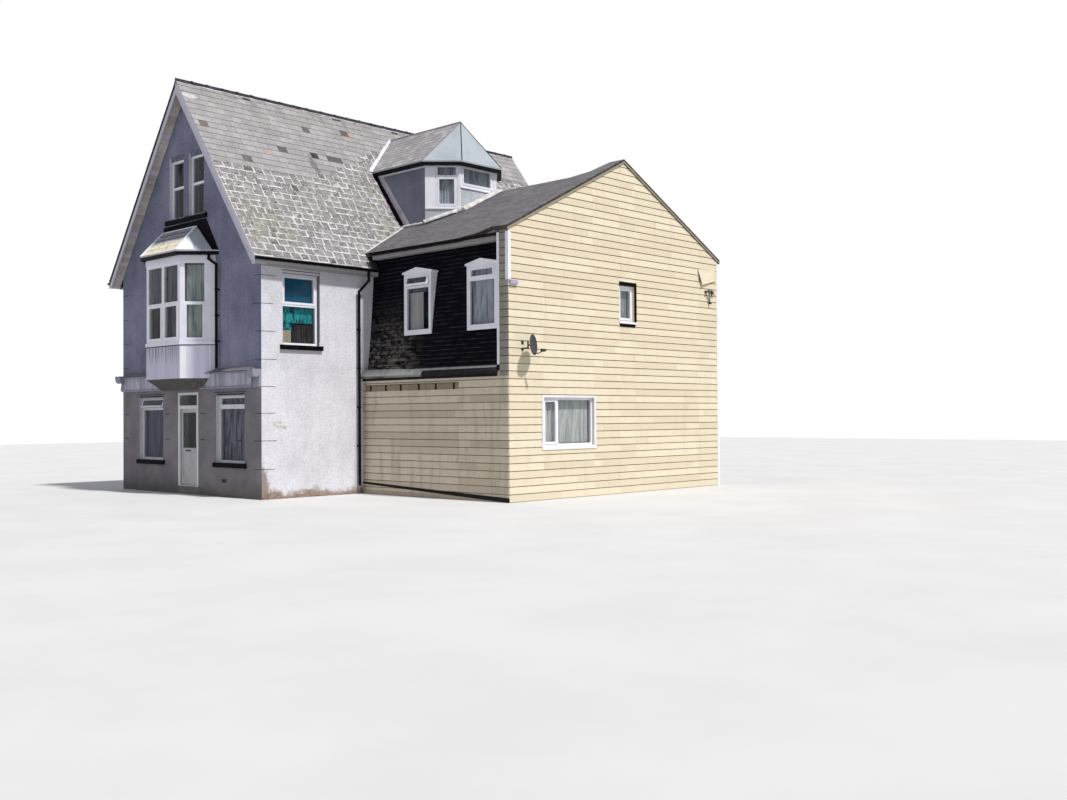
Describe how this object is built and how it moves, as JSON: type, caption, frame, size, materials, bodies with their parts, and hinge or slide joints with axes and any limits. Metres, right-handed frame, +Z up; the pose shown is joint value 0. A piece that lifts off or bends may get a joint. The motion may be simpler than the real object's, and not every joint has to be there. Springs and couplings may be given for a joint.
{
  "type": "corner shop building",
  "caption": "Gabled corner shop with an oriel bay and shop front, a canted dormer, and a boarded cross wing with leaning upper walls.",
  "frame": {"origin": "centre of the main house's footprint on the lowest ground", "axes": "+Z up; +X along the main ridge, from the shop front to the rear gable; +Y from the wing's side to the far side"},
  "size_m": [12.43, 12.4337, 10.3913],
  "materials": {
    "slab": "rough",
    "floorboards": "worn",
    "front_render": "painted render",
    "side_render": "painted render",
    "slates": "weathered",
    "wing_slates": "weathered",
    "ridge_clay": "weathered",
    "painted_board": "weathered paint",
    "rainwater": "satin",
    "sill_black": "painted",
    "door_paint": "paint",
    "white_upvc": "satin",
    "glass": "clear",
    "lead": "weathered",
    "cream_boards": "weathered paint",
    "shaded_boards": "weathered paint",
    "black_boards": "stained",
    "dish_metal": "matte"
  },
  "bodies": {
    "building": {"ground_floor": "slab", "first_floor": "floorboards", "attic_floor": "floorboards", "front_wall_right": "front_render", "front_wall_left": "front_render", "front_gable_wall": "front_render", "side_wall": "side_render", "far_side_wall": "side_render", "rear_gable_wall": "side_render", "main_roof_near": "slates", "main_roof_far": "slates", "ridge_tiles": "ridge_clay", "bargeboards": "painted_board", "eaves_boards": "painted_board", "gutters": "rainwater", "downpipes": "rainwater", "shop_fascia": "painted_board", "window_sills": "sill_black", "door_frame": "white_upvc", "shop_window_frames": "white_upvc", "shop_glass": "glass", "house_window_frames": "white_upvc", "house_glass": "glass", "bay_walls": "white_upvc", "bay_underside": "painted_board", "bay_window_frames": "white_upvc", "bay_glass": "glass", "bay_roof": "lead", "dormer_walls": "painted_board", "dormer_window_frames": "white_upvc", "dormer_glass": "glass", "dormer_roof": "lead", "wing_gable_wall": "cream_boards", "wing_left_wall": "shaded_boards", "wing_right_wall": "shaded_boards", "wing_left_upper_wall": "black_boards", "wing_right_upper_wall": "black_boards", "wing_ledges": "painted_board", "wing_roof_left": "wing_slates", "wing_roof_right": "wing_slates", "wing_window_boxes": "white_upvc", "wing_window_frames": "white_upvc", "wing_glass": "glass", "corner_trims": "white_upvc", "satellite_dish": "dish_metal"},
    "front_door": {"door_leaf": "door_paint", "door_glass": "glass"}
  },
  "joints": [
    {"name": "front_door_hinge", "type": "hinge", "parent": "building", "child": "front_door", "pos_m": [-5.606, 0.366, 1.2], "axis": [0, 0, 1], "range_deg": [0, 90]}
  ]
}
